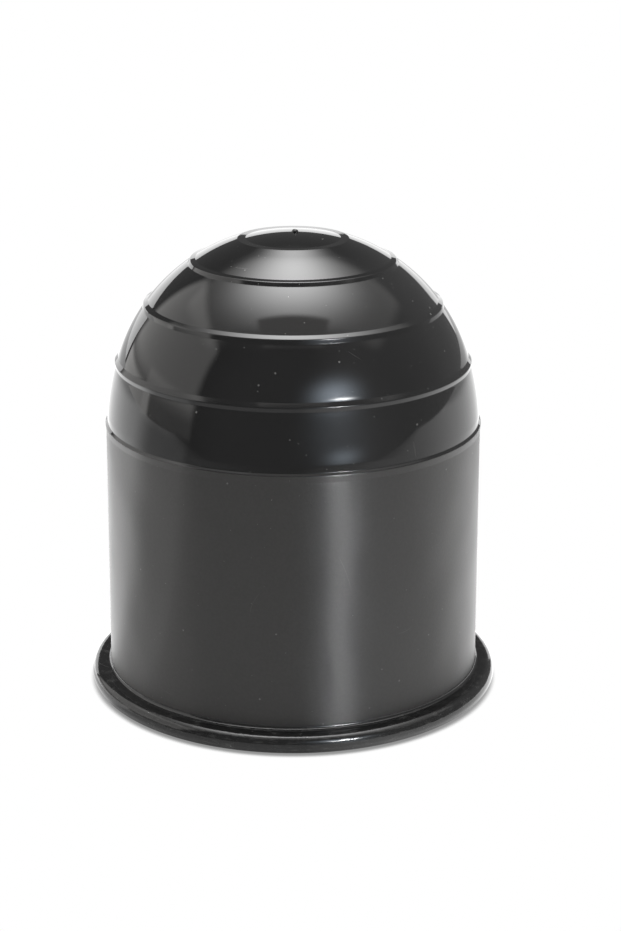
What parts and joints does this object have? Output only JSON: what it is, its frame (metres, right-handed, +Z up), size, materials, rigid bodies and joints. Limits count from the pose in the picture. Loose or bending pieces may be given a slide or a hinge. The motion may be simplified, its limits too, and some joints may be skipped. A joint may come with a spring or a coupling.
{
  "type": "tow ball cover",
  "caption": "Hollow black plastic cover for a tow ball: a straight round body with a rounded rim at the open mouth and a domed top with raised beads.",
  "frame": {"origin": "centre of the rim's underside, on the turning axis", "axes": "+Z up along the turning axis, through the dome; X and Y are free, as the cover is round"},
  "size_m": [0.072, 0.072, 0.0812],
  "materials": {
    "black_plastic": "gloss on dome and rim, satin on body"
  },
  "bodies": {
    "root": {"cover": "black_plastic"}
  },
  "joints": []
}
